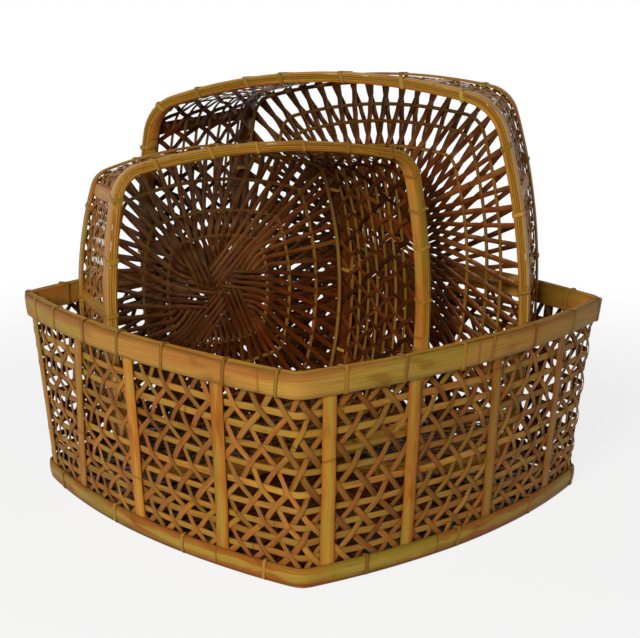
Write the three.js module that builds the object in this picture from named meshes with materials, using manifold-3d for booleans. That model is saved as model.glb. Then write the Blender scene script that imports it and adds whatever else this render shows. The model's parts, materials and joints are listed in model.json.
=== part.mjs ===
// Display set of three rounded-square bamboo baskets in open triaxial weave.
// The large basket lies open side up. The medium and the small basket stand on edge inside it,
// with their mouths towards the front, the small one reaching into the medium one's mouth.
// Millimetres, +Z up. The origin is the middle of the large basket's base, on the ground.
import * as THREE from 'three';
import { mergeVertices } from 'three/addons/utils/BufferGeometryUtils.js';
import Module from 'manifold-3d';

// Sheet and cane sizes shared by the three baskets
const bandThickness = 2.6;
const bandHeight = 24;
const innerBandThickness = 2.2;
const stakeThickness = 1.0;
const stakeWidth = 15;
const stripThickness = 0.7;
const stripWidth = 10;
const weaverHeight = 9;
const weaverMargin = 9;
const hoopHeight = 20;
const hoopThickness = 2.6;
const hoopEdge = 0.9;
const floorStripThickness = 1.2;
const floorStripBottom = 3;
const floorCane = 4;

// The floor strips' hub: its rise, how far its pinwheel leans, how much of it the strips fill, and
// the share of a strip's length that slopes down from it
const hubRise = 2.4;
const hubLean = Math.PI / 12;
const hubFill = 0.8;
const hubSlopeShare = 0.2;

const seatGap = 0.3;
const weaveGap = 1.0;

// Depths inward from the outline, through the rim: outer band, stakes, left-leaning strips,
// weaver, right-leaning strips, inner band
const stakeOuter = bandThickness + seatGap;
const leftOuter = stakeOuter + stakeThickness + weaveGap;
const weaverOuter = leftOuter + stripThickness + weaveGap;
const rightOuter = weaverOuter + stripThickness + weaveGap;
const rightInner = rightOuter + stripThickness;
const innerBandOuter = rightInner + weaveGap;
const innerBandInner = innerBandOuter + innerBandThickness;

// Reeds that fill the top of the rim: the strips of each leaning family end in one of them
const reedTop = 1.0;
const reedHeight = 5;
const reedMiddle = (stakeOuter + innerBandOuter) / 2;
const stakeTopClearance = reedHeight + 2 * seatGap;

// Facets of each side and corner of an outline
const sideFacets = 5;
const cornerFacets = 2;

const outerBamboo = new THREE.Color(0.66, 0.47, 0.22);
const paleBamboo = new THREE.Color(0.72, 0.54, 0.3);
const darkBamboo = new THREE.Color(0.3, 0.16, 0.07);
const caneColour = new THREE.Color(0.55, 0.38, 0.18);

// How much the baskets' half widths step down: the medium one stands across the large one, and
// the small one stands beside it and is lower than its mouth
const mediumStepLong = 15.5;
const mediumStepShort = 36.5;
const smallStepLong = 71.5;
const smallStepShort = 48.5;

// Half widths are those of the rim, and the base is drawn in from them. Side radii are those of the
// bulged sides. Walls 'east', 'north', 'west' and 'south' face +X, +Y, -X and -Y, and stakes stand
// at shares of a wall's half width. Floor hoops are shares of the base's outline, stretched along Y.
const largeBasket = {
  name: 'large',
  height: 224.5,
  halfX: 273.5,
  halfY: 266.5,
  rimSideRadius: 950,
  rimCornerRadius: 20,
  baseInsetX: 16.5,
  baseInsetY: 11,
  baseSideRadius: 766,
  baseCornerRadius: 20,
  strips: 31,
  stripSlope: 1.3,
  weaverTurns: 4,
  floorHoops: [0.36, 0.59, 0.84],
  hoopStretch: 1,
  stakes: {
    west: [0.83, 0.45, 0.04, -0.45],
    south: [-0.79, -0.41, 0.02, 0.48],
    east: [-0.6, 0, 0.58],
    north: [0.6, 0.05, -0.5],
  },
};
const mediumBasket = {
  name: 'medium',
  height: 182,
  halfX: largeBasket.halfY - mediumStepLong,
  halfY: largeBasket.halfX - mediumStepShort,
  rimSideRadius: 722,
  rimCornerRadius: 60,
  baseInsetX: 47.5,
  baseInsetY: 15,
  baseSideRadius: 690,
  baseCornerRadius: 43,
  strips: 25,
  stripSlope: 1.3,
  weaverTurns: 3,
  floorHoops: [0.57, 0.7, 0.79],
  hoopStretch: 1.08,
  stakes: {
    west: [0.72, -0.3],
    south: [-0.5, 0.45],
    east: [-0.55, 0.4],
    north: [0.5, -0.45],
  },
};
const smallBasket = {
  name: 'small',
  height: 175,
  halfX: largeBasket.halfX - smallStepLong,
  halfY: mediumBasket.halfY - smallStepShort,
  rimSideRadius: 778,
  rimCornerRadius: 42,
  baseInsetX: 24.5,
  baseInsetY: 11,
  baseSideRadius: 442,
  baseCornerRadius: 28,
  strips: 20,
  stripSlope: 1.3,
  weaverTurns: 3,
  floorHoops: [0.39, 0.57, 0.79],
  hoopStretch: 1,
  stakes: {
    west: [0.72, 0.06],
    south: [-0.5, 0.45],
    east: [-0.55, 0.4],
    north: [0.5, -0.45],
  },
};

// Where the two standing baskets start before they are pushed and lowered onto what carries them:
// clearance from the large basket's far (+X) or near (-X) wall, place of their middle along Y, turn
// about Z from a mouth that faces -Y, lean back of the mouth, and roll about the mouth's axis. The
// small one leans until its rim and its base hoop both face down. The medium one's mouth is almost
// upright, because its base hoop is up against the walls of the far corner.
const floorTop = floorStripBottom + floorStripThickness + seatGap + floorCane;
const mediumStart = {
  wall: 1,
  clearance: 28.9,
  middle: -1.3,
  lift: 3,
  turn: -70.4,
  lean: -1.26,
  roll: 3.2,
};
const smallStart = {
  wall: -1,
  clearance: 24,
  middle: 67,
  lift: 30,
  turn: -16.1,
  lean: THREE.MathUtils.radToDeg(Math.atan2(smallBasket.baseInsetY, smallBasket.height)),
  roll: 0,
};
const settleTolerance = 0.01;
const settleSteps = 60;

const wasm = await Module();
wasm.setup();

// A rounded rectangle whose sides are arcs that bulge outwards
function outlineCurve({ halfX, halfY, sideRadius, cornerRadius }) {
  const reach = sideRadius - cornerRadius;
  const eastCentre = new THREE.Vector2(halfX - sideRadius, 0);
  const northCentre = new THREE.Vector2(0, halfY - sideRadius);
  const between = northCentre.clone().sub(eastCentre);
  const middle = eastCentre.clone().add(northCentre).multiplyScalar(0.5);
  const rise = Math.sqrt(reach * reach - between.lengthSq() / 4);
  const outward = new THREE.Vector2(-between.y, between.x).normalize();
  if (outward.x < 0) outward.negate();
  const corner = middle.addScaledVector(outward, rise);
  const eastEnd = Math.atan2(corner.y, corner.x - eastCentre.x);
  const northStart = Math.atan2(corner.y - northCentre.y, corner.x);
  const arc = (centre, radius, angle) =>
    new THREE.Vector2(Math.cos(angle), Math.sin(angle)).multiplyScalar(radius).add(centre);
  return {
    east: (share) => arc(eastCentre, sideRadius, eastEnd * share),
    corner: (share) => arc(corner, cornerRadius, THREE.MathUtils.lerp(eastEnd, northStart, share)),
    north: (share) => {
      const angle = THREE.MathUtils.lerp(northStart, Math.PI - northStart, share);
      return arc(northCentre, sideRadius, angle);
    },
  };
}

// The outline as a polygon that runs anticlockwise from the middle facet of the east side
function outlinePolygon(shape) {
  const curve = outlineCurve(shape);
  const points = [];
  for (let k = 0; k < sideFacets; k++) points.push(curve.east((2 * k) / sideFacets - 1));
  for (let k = 0; k < cornerFacets; k++) points.push(curve.corner(k / cornerFacets));
  for (let k = 0; k < sideFacets; k++) points.push(curve.north(k / sideFacets));
  for (let k = 0; k < cornerFacets; k++) {
    const mirrored = curve.corner(1 - k / cornerFacets);
    points.push(new THREE.Vector2(-mirrored.x, mirrored.y));
  }
  const opposite = points.map((point) => point.clone().negate());
  return [...points, ...opposite];
}

// The polygon moved inwards by a depth, each side staying parallel to itself
function insetPolygon(polygon, depth) {
  const count = polygon.length;
  const normals = polygon.map((point, i) => {
    const along = polygon[(i + 1) % count].clone().sub(point).normalize();
    return new THREE.Vector2(along.y, -along.x);
  });
  return polygon.map((point, i) => {
    const before = normals[(i + count - 1) % count];
    const after = normals[i];
    const mitre = before.clone().add(after).divideScalar(1 + before.dot(after));
    return point.clone().addScaledVector(mitre, -depth);
  });
}

// The wall of a basket: a place on it is a station, a height and a depth inward. A station counts
// facets, so 2.5 is the middle of the third one.
function makeWall(basket) {
  const { height, halfX, halfY } = basket;
  const rimPolygon = outlinePolygon({
    halfX,
    halfY,
    sideRadius: basket.rimSideRadius,
    cornerRadius: basket.rimCornerRadius,
  });
  const basePolygon = outlinePolygon({
    halfX: halfX - basket.baseInsetX,
    halfY: halfY - basket.baseInsetY,
    sideRadius: basket.baseSideRadius,
    cornerRadius: basket.baseCornerRadius,
  });
  const count = rimPolygon.length;
  const cache = new Map();
  const polygons = (depth) => {
    if (!cache.has(depth)) {
      cache.set(depth, [insetPolygon(basePolygon, depth), insetPolygon(rimPolygon, depth)]);
    }
    return cache.get(depth);
  };
  const vertex = (index, z, depth) => {
    const [low, high] = polygons(depth);
    const i = ((index % count) + count) % count;
    return low[i].clone().lerp(high[i], z / height);
  };
  const point = (station, z, depth) => {
    const index = Math.floor(station);
    const flat = vertex(index, z, depth).lerp(vertex(index + 1, z, depth), station - index);
    return new THREE.Vector3(flat.x, flat.y, z);
  };
  const edges = [0];
  for (let i = 0; i < count; i++) {
    const reach = vertex(i + 1, height / 2, 0).distanceTo(vertex(i, height / 2, 0));
    edges.push(edges[i] + reach);
  }
  const perimeter = edges[count];
  const stationAt = (distance) => {
    const turns = Math.floor(distance / perimeter);
    const rest = distance - turns * perimeter;
    let i = 0;
    while (i < count - 1 && edges[i + 1] <= rest) i++;
    return turns * count + i + (rest - edges[i]) / (edges[i + 1] - edges[i]);
  };
  const distanceAt = (station) => {
    const turns = Math.floor(station / count);
    const rest = station - turns * count;
    const i = Math.floor(rest);
    return turns * perimeter + edges[i] + (rest - i) * (edges[i + 1] - edges[i]);
  };
  return { height, count, point, perimeter, stationAt, distanceAt };
}

// A closed body through sections of equal point counts, as a loop or with flat ends. Each
// section's points run from the outer low one upwards and then inwards.
function loft(sections, closed) {
  const ring = sections[0].length;
  const positions = sections.flat().flatMap((point) => point.toArray());
  const index = [];
  const last = closed ? sections.length : sections.length - 1;
  for (let k = 0; k < last; k++) {
    const here = k * ring;
    const next = ((k + 1) % sections.length) * ring;
    for (let j = 0; j < ring; j++) {
      const above = (j + 1) % ring;
      index.push(here + j, next + j, next + above, here + j, next + above, here + above);
    }
  }
  if (!closed) {
    const end = (sections.length - 1) * ring;
    for (let j = 1; j < ring - 1; j++) {
      index.push(0, j, j + 1);
      index.push(end, end + j + 1, end + j);
    }
  }
  const geometry = new THREE.BufferGeometry();
  geometry.setAttribute('position', new THREE.Float32BufferAttribute(positions, 3));
  geometry.setIndex(index);
  return geometry;
}

// A band round the wall with a four-sided section
function wallBand(wall, low, high, outer, inner) {
  const sections = [];
  for (let i = 0; i < wall.count; i++) {
    sections.push([
      wall.point(i, low, outer),
      wall.point(i, high, outer),
      wall.point(i, high, inner),
      wall.point(i, low, inner),
    ]);
  }
  return loft(sections, true);
}

// A half-round hoop round the foot of the wall
function baseHoop(wall) {
  const sections = [];
  for (let i = 0; i < wall.count; i++) {
    sections.push([
      wall.point(i, 0, hoopEdge),
      wall.point(i, hoopHeight / 2, 0),
      wall.point(i, hoopHeight, hoopEdge),
      wall.point(i, hoopHeight, hoopThickness),
      wall.point(i, 0, hoopThickness),
    ]);
  }
  return loft(sections, true);
}

// The stations from one to another at which a piece laid on the wall bends: at the edges of the
// facets and, for a leaning strip, also in the middle of the facets that twist beside a corner
function bendsBetween(start, end, leaning = false) {
  const margin = 0.02;
  const quarter = sideFacets + cornerFacets;
  const besideCorner = [0.5, sideFacets - 0.5];
  const stations = [start];
  for (let station = Math.floor(2 * start) / 2; station < end - margin; station += 0.5) {
    const place = ((station % quarter) + quarter) % quarter;
    const bends = Number.isInteger(station) || (leaning && besideCorner.includes(place));
    if (bends && station > start + margin) stations.push(station);
  }
  stations.push(end);
  return stations;
}

// A strip laid on the wall from one station to another: rises gives its middle height at each,
// and its ends are cut upright
function wallStrip(wall, stations, middleHeight, upright, outer, inner) {
  const sections = stations.map((station) => {
    const middle = middleHeight(station);
    return [
      wall.point(station, middle - upright / 2, outer),
      wall.point(station, middle + upright / 2, outer),
      wall.point(station, middle + upright / 2, inner),
      wall.point(station, middle - upright / 2, inner),
    ];
  });
  return loft(sections, false);
}

function toManifold(geometry) {
  return new wasm.Manifold(
    new wasm.Mesh({
      numProp: 3,
      vertProperties: geometry.attributes.position.array,
      triVerts: new Uint32Array(geometry.index.array),
    }),
  );
}

function fromManifold(solid) {
  const mesh = solid.getMesh();
  const geometry = new THREE.BufferGeometry();
  geometry.setAttribute('position', new THREE.BufferAttribute(mesh.vertProperties, 3));
  geometry.setIndex(new THREE.BufferAttribute(mesh.triVerts, 1));
  return geometry;
}

// One leaning family of strips with the filler reed that their tops end in. Lean is +1 where the
// strips rise anticlockwise and -1 where they rise clockwise.
function leaningStrips(basket, wall, lean, outer, reedOuter, reedInner) {
  const inner = outer + stripThickness;
  const upright = stripWidth * Math.hypot(1, basket.stripSlope);
  const top = wall.height + reedTop - seatGap;
  const bottom = floorStripBottom;
  const low = bottom + upright / 2;
  const high = top - upright / 2;
  const run = (high - low) / basket.stripSlope;
  const pitch = wall.perimeter / basket.strips;
  const reedLow = wall.height + reedTop - reedHeight;
  const reed = wallBand(wall, reedLow, wall.height + reedTop, reedOuter, reedInner);
  const solids = [toManifold(reed)];
  for (let k = 0; k < basket.strips; k++) {
    const begin = k * pitch;
    const stations = bendsBetween(wall.stationAt(begin), wall.stationAt(begin + run), true);
    const middleHeight = (station) => {
      const share = (wall.distanceAt(station) - begin) / run;
      return lean > 0 ? low + share * (high - low) : high - share * (high - low);
    };
    solids.push(toManifold(wallStrip(wall, stations, middleHeight, upright, outer, inner)));
  }
  return fromManifold(wasm.Manifold.union(solids));
}

// The weaver: one long strip that winds up the wall in level-looking turns, from just over the
// base hoop to just under the rim
function spiralWeaver(basket, wall) {
  const end = basket.weaverTurns * wall.count;
  const low = hoopHeight + weaverMargin + weaverHeight / 2;
  const high = wall.height - bandHeight - weaverMargin - weaverHeight / 2;
  const middleHeight = (station) => THREE.MathUtils.lerp(low, high, station / end);
  const stations = bendsBetween(0, end);
  const inner = weaverOuter + stripThickness;
  return wallStrip(wall, stations, middleHeight, weaverHeight, weaverOuter, inner);
}

// The station on a named wall at a share of that wall's half width
function stakeStation(basket, wall, side, share) {
  const half = side === 'east' || side === 'west' ? basket.halfY : basket.halfX;
  const read = {
    east: (point) => (point.x > 0 ? point.y : NaN),
    north: (point) => (point.y > 0 ? point.x : NaN),
    west: (point) => (point.x < 0 ? point.y : NaN),
    south: (point) => (point.y < 0 ? point.x : NaN),
  }[side];
  const firstFacet = ['east', 'north', 'west', 'south'].indexOf(side) * (sideFacets + cornerFacets);
  const target = share * half;
  for (let i = firstFacet - 1; i < firstFacet + sideFacets + 1; i++) {
    const here = read(wall.point(i, wall.height, 0));
    const next = read(wall.point(i + 1, wall.height, 0));
    if ((here - target) * (next - target) <= 0) return i + (target - here) / (next - here);
  }
  throw new Error(`no place for a stake at ${share} of the ${side} wall of ${basket.name}`);
}

function stake(wall, station) {
  const middle = wall.distanceAt(station);
  const start = wall.stationAt(middle - stakeWidth / 2);
  const end = wall.stationAt(middle + stakeWidth / 2);
  const top = wall.height + reedTop - stakeTopClearance;
  const bottom = floorStripBottom;
  const inner = stakeOuter + stakeThickness;
  const stations = bendsBetween(start, end);
  return wallStrip(wall, stations, () => (top + bottom) / 2, top - bottom, stakeOuter, inner);
}

// The floor's strips as one piece: they lean round the middle as a pinwheel and stop at the foot
// of the wall, and the hub that they cross in stands up as a low dome
function floorStrips(basket, wall) {
  const count = basket.strips;
  const hub = (count * stripWidth) / (2 * Math.PI);
  const ends = rightInner + seatGap;
  const positions = [];
  const index = [];
  const addPoint = (flat, height) => {
    positions.push(flat.x, flat.y, height);
    positions.push(flat.x, flat.y, height + floorStripThickness);
    return positions.length / 3 - 2;
  };
  const quad = (a, b, c, d) => index.push(a, b, c, a, c, d);
  const centre = addPoint(new THREE.Vector2(), floorStripBottom + hubRise);
  const roots = [];
  for (let k = 0; k < count; k++) {
    const middle = (k * wall.perimeter) / count;
    const tips = [middle - stripWidth / 2, middle + stripWidth / 2].map((distance) => {
      const point = wall.point(wall.stationAt(distance), floorStripBottom, ends);
      return new THREE.Vector2(point.x, point.y);
    });
    const facing = Math.atan2(tips[0].y + tips[1].y, tips[0].x + tips[1].x) - hubLean;
    const root = [-1, 1].map((side) => {
      const angle = facing + (side * hubFill * Math.PI) / count;
      return new THREE.Vector2(Math.cos(angle), Math.sin(angle)).multiplyScalar(hub);
    });
    const bends = root.map((point, side) => point.clone().lerp(tips[side], hubSlopeShare));
    const inner = root.map((point) => addPoint(point, floorStripBottom + hubRise));
    const bend = bends.map((point) => addPoint(point, floorStripBottom));
    const outer = tips.map((point) => addPoint(point, floorStripBottom));
    for (const [near, far] of [[inner, bend], [bend, outer]]) {
      quad(near[0] + 1, far[0] + 1, far[1] + 1, near[1] + 1);
      quad(near[0], near[1], far[1], far[0]);
      quad(near[0], far[0], far[0] + 1, near[0] + 1);
      quad(near[1], near[1] + 1, far[1] + 1, far[1]);
    }
    quad(outer[0], outer[1], outer[1] + 1, outer[0] + 1);
    roots.push(...inner);
  }
  roots.forEach((here, i) => {
    const next = roots[(i + 1) % roots.length];
    index.push(centre + 1, here + 1, next + 1, centre, next, here);
    if (i % 2 === 1) quad(here, next, next + 1, here + 1);
  });
  const geometry = new THREE.BufferGeometry();
  geometry.setAttribute('position', new THREE.Float32BufferAttribute(positions, 3));
  geometry.setIndex(index);
  return geometry;
}

// A rounded-square cane hoop on the floor, at a share of the base's outline
function floorHoop(basket, wall, share) {
  const low = floorStripBottom + floorStripThickness + seatGap;
  const steps = wall.count / 2;
  const sections = [];
  for (let k = 0; k < steps; k++) {
    const edge = wall.point(2 * k + 0.5, low, rightInner).setZ(0).multiplyScalar(share);
    const middle = edge.setY(edge.y * basket.hoopStretch);
    const outward = middle.clone().normalize();
    const at = (grow, z) => middle.clone().addScaledVector(outward, grow).setZ(z);
    const half = floorCane / 2;
    sections.push([at(half, low), at(half, low + floorCane), at(-half, low + floorCane), at(-half, low)]);
  }
  return loft(sections, true);
}

function makeMesh(name, geometry, colour, roughness) {
  const material = new THREE.MeshStandardMaterial({
    color: colour,
    roughness,
    metalness: 0,
    flatShading: true,
  });
  const mesh = new THREE.Mesh(geometry, material);
  mesh.name = name;
  return mesh;
}

function makeBasket(basket) {
  const wall = makeWall(basket);
  const group = new THREE.Group();
  const add = (name, geometry, colour, roughness = 0.6) =>
    group.add(makeMesh(`${basket.name}_${name}`, geometry, colour, roughness));
  const bandLow = wall.height - bandHeight;
  add('rim_outer_band', wallBand(wall, bandLow, wall.height, 0, bandThickness), outerBamboo, 0.45);
  add(
    'rim_inner_band',
    wallBand(wall, bandLow, wall.height, innerBandOuter, innerBandInner),
    paleBamboo,
    0.5,
  );
  const leftReed = [stakeOuter, reedMiddle - seatGap / 2];
  const rightReed = [reedMiddle + seatGap / 2, innerBandOuter - seatGap];
  add('left_leaning_strips', leaningStrips(basket, wall, -1, leftOuter, ...leftReed), caneColour);
  add('right_leaning_strips', leaningStrips(basket, wall, 1, rightOuter, ...rightReed), darkBamboo);
  add('weaver', spiralWeaver(basket, wall), caneColour);
  add('base_hoop', baseHoop(wall), outerBamboo, 0.45);
  add('floor_strips', floorStrips(basket, wall), darkBamboo);
  basket.floorHoops.forEach((share, k) => {
    add(`floor_hoop_${k + 1}`, floorHoop(basket, wall, share), caneColour);
  });
  for (const [side, shares] of Object.entries(basket.stakes)) {
    shares.forEach((share, k) => {
      const station = stakeStation(basket, wall, side, share);
      add(`stake_${side}_${k + 1}`, stake(wall, station), paleBamboo, 0.5);
    });
  }
  return group;
}

// Stands a basket on edge over the large basket's floor
function standOnEdge(basket, start) {
  const group = makeBasket(basket);
  const lean = THREE.MathUtils.degToRad(start.lean);
  const turn = THREE.MathUtils.degToRad(start.turn);
  const roll = THREE.MathUtils.degToRad(start.roll);
  group.rotation.set(Math.PI / 2 - lean, 0, turn, 'ZYX');
  group.rotateZ(roll);
  const extents = new THREE.Box3().setFromObject(group, true);
  const middle = extents.getCenter(new THREE.Vector3());
  const wallSide = start.wall > 0 ? extents.max.x : extents.min.x;
  group.position.set(
    start.wall * (largeBasket.halfX - start.clearance) - wallSide,
    start.middle - middle.y,
    floorTop + start.lift - extents.min.z,
  );
  return group;
}

// The named pieces of a placed basket as solids
function placedSolids(group, names) {
  group.updateMatrixWorld(true);
  const pieces = group.children.filter((mesh) => names.some((name) => mesh.name.includes(name)));
  return pieces.map((mesh) => {
    const geometry = mesh.geometry.clone().applyMatrix4(mesh.matrixWorld);
    return toManifold(mergeVertices(geometry));
  });
}

// Pushes a basket straight along a direction until its hoop or rim is a seat gap from the stops
function settle(group, direction, stops) {
  const moving = placedSolids(group, ['rim_outer_band', 'base_hoop', 'left_leaning', 'stake']);
  const reach = 50;
  let moved = 0;
  for (let step = 0; step < settleSteps; step++) {
    const shift = direction.clone().multiplyScalar(moved).toArray();
    const gaps = moving.flatMap((solid) => {
      const shifted = solid.translate(shift);
      return stops.map((stop) => shifted.minGap(stop, reach));
    });
    const clear = Math.min(...gaps) - seatGap;
    moved += clear;
    if (clear < settleTolerance) break;
  }
  group.position.addScaledVector(direction, moved);
}

// The medium basket goes down onto the large one's floor and back to its far corner. The small one
// goes to the near wall and down onto the medium one's rim.
const down = new THREE.Vector3(0, 0, -1);
const toFarCorner = new THREE.Vector3(0.691, 0.723, 0).normalize();
const toNearWall = new THREE.Vector3(-1, 0, 0);
const large = makeBasket(largeBasket);
const walls = placedSolids(large, ['rim_inner_band', 'leaning', 'weaver']);
const floor = placedSolids(large, ['floor']);
const medium = standOnEdge(mediumBasket, mediumStart);
settle(medium, down, floor);
settle(medium, toFarCorner, walls);
settle(medium, down, floor);
const small = standOnEdge(smallBasket, smallStart);
const smallRests = [...floor, ...placedSolids(medium, ['rim_inner_band'])];
settle(small, toNearWall, walls);
settle(small, down, smallRests);
settle(small, toNearWall, walls);
settle(small, down, smallRests);

const set = new THREE.Group();
set.add(large, medium, small);

export default set;
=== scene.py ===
"""The look of a display set of three rounded-square bamboo baskets in open weave.

Shapes are worked out in millimetres and turned into metres when a mesh is made.
"""

import json
import math

import bpy
import numpy as np
from mathutils import Matrix, Vector


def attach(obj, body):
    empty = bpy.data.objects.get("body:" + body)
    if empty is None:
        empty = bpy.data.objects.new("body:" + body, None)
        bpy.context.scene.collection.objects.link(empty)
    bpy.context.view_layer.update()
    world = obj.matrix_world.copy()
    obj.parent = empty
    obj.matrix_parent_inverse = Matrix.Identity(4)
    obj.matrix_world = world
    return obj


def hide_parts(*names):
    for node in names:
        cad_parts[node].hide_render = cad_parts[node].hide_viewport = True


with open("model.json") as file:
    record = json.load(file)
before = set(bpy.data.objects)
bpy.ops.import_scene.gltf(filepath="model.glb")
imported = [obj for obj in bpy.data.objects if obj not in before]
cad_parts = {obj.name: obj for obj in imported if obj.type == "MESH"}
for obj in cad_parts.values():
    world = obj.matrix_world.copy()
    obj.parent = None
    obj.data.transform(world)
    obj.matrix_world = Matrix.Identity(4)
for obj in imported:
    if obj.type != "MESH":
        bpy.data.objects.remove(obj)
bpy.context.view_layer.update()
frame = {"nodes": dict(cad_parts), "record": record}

MM = 0.001

# The rim: bands, and reeds that lie on it between them
BAND_HEIGHT = 25
BAND_THICKNESS = 2.6
BAND_BULGE = 0.5
BAND_ROUNDING = 0.6
INNER_BAND_OUTER = 10.0
INNER_BAND_THICKNESS = 2.2
REED_DIAMETER = 2.5
REED_DEPTHS = (4.1, 6.6, 9.0)
REED_PROUD = 0.3

# Stakes: how far under the rim's top they end, and the height of their feet
STAKE_WIDTH = 15.5
STAKE_THICKNESS = 1.3
STAKE_BULGE = 0.55
STAKE_DEPTH = 3.6
STAKE_DROP = 2
STAKE_LOW = 3

# The open weave: strips that lean both ways swing over and under level rows. FIRST_ROW is where
# they start, counted in rows from the top one, and FOOT_BEND the heights between which they bend
# out towards the foot
STRIP_THICKNESS = 0.8
STRIP_BULGE = 0.25
LEANER_BULGE = 0.4
LEANER_DROP = 3
FIRST_ROW = -2
LATTICE_DEPTH = 6.9
LATTICE_SWING = 1.7
LATTICE_FOOT = 4.0
FOOT_DEPTH = 4.7
FOOT_BEND = (14, 45)
FOOT_SWING = 0.25

# The foot: a half-round hoop, and a thin dark one under it
HOOP_LOW = 1.6
HOOP_HIGH = 21
HOOP_THICKNESS = 3.0
HOOP_BULGE = 1.0
UNDER_HOOP_DIAMETER = 2.6
UNDER_HOOP_DEPTH = 1.9

# Canes of the floor and of the corner between floor and wall
FLOOR_CANE = 4.6
FLOOR_CANE_LIFT = 0.3
CORNER_CANE = 5.0
CORNER_CANE_HEIGHT = 9.0
CORNER_CANE_INSET = 4.0

# Cane lashings: how far they stand off what they bind, at its sides, over it and under it
LASHING_WIDTH = 4.3
LASHING_THICKNESS = 0.8
LASHING_SLANT = 3.0
LASHING_ROUNDING = 1.2
LASHING_GAP = 0.4
LASHING_OVER = 0.3
LASHING_UNDER = 0.5
FOOT_LASHING_LOW = 0.6
FOOT_LASHING_OVER = 0.8
FOOT_LASHING_INNER = 6.5
FOOT_LASHING_SLANT = 2.0

# Made by hand: how far things waver and over what length (leaning strips in rows), how far strips
# stray from even places, and the shares between which widths and slants are drawn
REED_WAVER = (0.4, 300)
UNDER_HOOP_WAVER = (0.15, 260)
ROW_WAVER = (1.2, 170)
LEANER_WAVER = (1.2, 4.0)
STAKE_WAVER = (0.6, 180)
FLOOR_WAVER = (0.3, 34)
STRAY = 1.5
SWAY = 1.2
LEANER_WIDTHS = (0.85, 1.12)
ROW_WIDTHS = (0.9, 1.08)
STAKE_WIDTHS = (0.94, 1.06)
FLOOR_WIDTHS = (0.85, 1.1)
LASHING_WIDTHS = (0.85, 1.15)
LASHING_SLANTS = (0.4, 1.4)

# The floor: its strips lie side by side in a small plaited hub, fan out from it, cross each other
# and reach the wall to either side of where they set out for (floor_spread, in pitches). Near a
# hoop, within about HOOP_REACH, one layer passes over it and the other under it
FLOOR_STRIP_THICKNESS = 0.9
FLOOR_BULGE = 0.4
BUNDLES = 6
BUNDLE_PITCH = 3.3
HUB_TUCK = 5.0
HUB_DIP = 1.6
HUB_PULL = 0.45
FAN_PULL = 0.35
FAN_RADIUS = 76
DOME_SHARE = 1.4
LAYER_LIFT = 0.6
HOOP_LIFT = 1.7
HOOP_REACH = 7
# Painted light and shade: the upper layer of floor strips takes lighter tones and the lower layer,
# under it, darker ones. Every third bundle of the hub takes a lighter tone still, a painted sheen
LIT_UPPER_TONES = (0.3, 0.8)
SHADED_LOWER_TONES = (0.0, 0.4)
SHEEN_BUNDLES = 3
SHEEN_TONE = 0.2

# Steps of the meshes: along hoops, rows, floor strips and canes in millimetres, and in counts
RING_STEP = 8.0
ROW_STEP = 6.0
FLOOR_STEP = 6
CANE_STEP = 10.0
ANGLE_STEP = 2.0
SIDE_STEPS = 60
CORNER_STEPS = 16
STAKE_STEPS = 30
HUB_STEPS = 16
STEPS_PER_ROW = 5
ROD_SIDES = 8
SHARP_ANGLE = 42

# The three baskets. Each pair of radii is that of the bulged sides and that of the corners, and
# inset is how far the base is drawn in from the rim. Rows are heights, and hoops are shares of the
# base's outline. Lashings are at distances round the wall, from the low end of its +X side, and
# stakes have one such distance for their top and one for their foot
LARGE = {
    "name": "large",
    "rim_tone": 0.14,
    "seed": 11,
    "height": 224.5,
    "half": (273.5, 266.5),
    "rim_radii": (950, 20),
    "inset": (16.5, 11),
    "base_radii": (766, 20),
    "inner_band": 24,
    "strips": 60,
    "strip_width": 6.0,
    "floor_width": 12.0,
    "floor_spread": 1.5,
    "floor_level": 5.3,
    "floor_rise": 2.4,
    "rows": (181, 161, 141, 121, 99.5, 80, 62, 47, 31),
    "row_width": 7.0,
    "hoops": (0.36, 0.59, 0.84),
    "hoop_stretch": 1.0,
    "hub_turn": 20,
    "rim_lashings": (
        37, 106, 172, 239, 308, 381, 442, 515, 583, 651, 724, 790, 861, 914, 963, 1013, 1080,
        1143, 1214, 1297, 1360, 1433, 1502, 1579, 1622, 1695, 1777, 1846,
    ),
    "base_lashings": (
        64, 188, 309, 433, 556, 682, 799, 978, 1108, 1227, 1338, 1459, 1588, 1723, 1839,
    ),
    "stakes": {
        "west": ((944, 944), (1062, 1028), (1154, 1154), (1285, 1282)),
        "south": ((1418, 1413), (1519, 1514), (1637, 1639), (1760, 1765)),
        "east": ((73, 73), (233, 233), (388, 388)),
        "north": ((535, 535), (685, 685), (836, 836)),
    },
}
MEDIUM = {
    "name": "medium",
    "rim_tone": 0.62,
    "seed": 12,
    "height": 182,
    "half": (251, 237),
    "rim_radii": (722, 60),
    "inset": (47.5, 15),
    "base_radii": (690, 43),
    "inner_band": 13,
    "strips": 60,
    "strip_width": 5.8,
    "floor_width": 6.6,
    "floor_spread": 2.4,
    "floor_level": 3.2,
    "floor_rise": 0.2,
    "rows": (141, 121, 102, 83, 64, 47, 31),
    "row_width": 4.4,
    "hoops": (0.57, 0.7, 0.79),
    "hoop_stretch": 1.08,
    "hub_turn": 35,
    "rim_lashings": (
        35, 102, 169, 257, 332, 409, 472, 538, 606, 647, 707, 759, 815, 880, 947, 1016, 1084,
        1151, 1222, 1290, 1357, 1424, 1493, 1562,
    ),
    "base_lashings": (60, 175, 290, 410, 528, 640, 755, 868, 985, 1100, 1215, 1335, 1450, 1560),
    "stakes": {
        "west": ((796, 796), (1044, 1044)),
        "south": ((1257, 1257), (1471, 1471)),
        "east": ((39, 39), (270, 270)),
        "north": ((459, 459), (673, 673)),
    },
}
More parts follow.
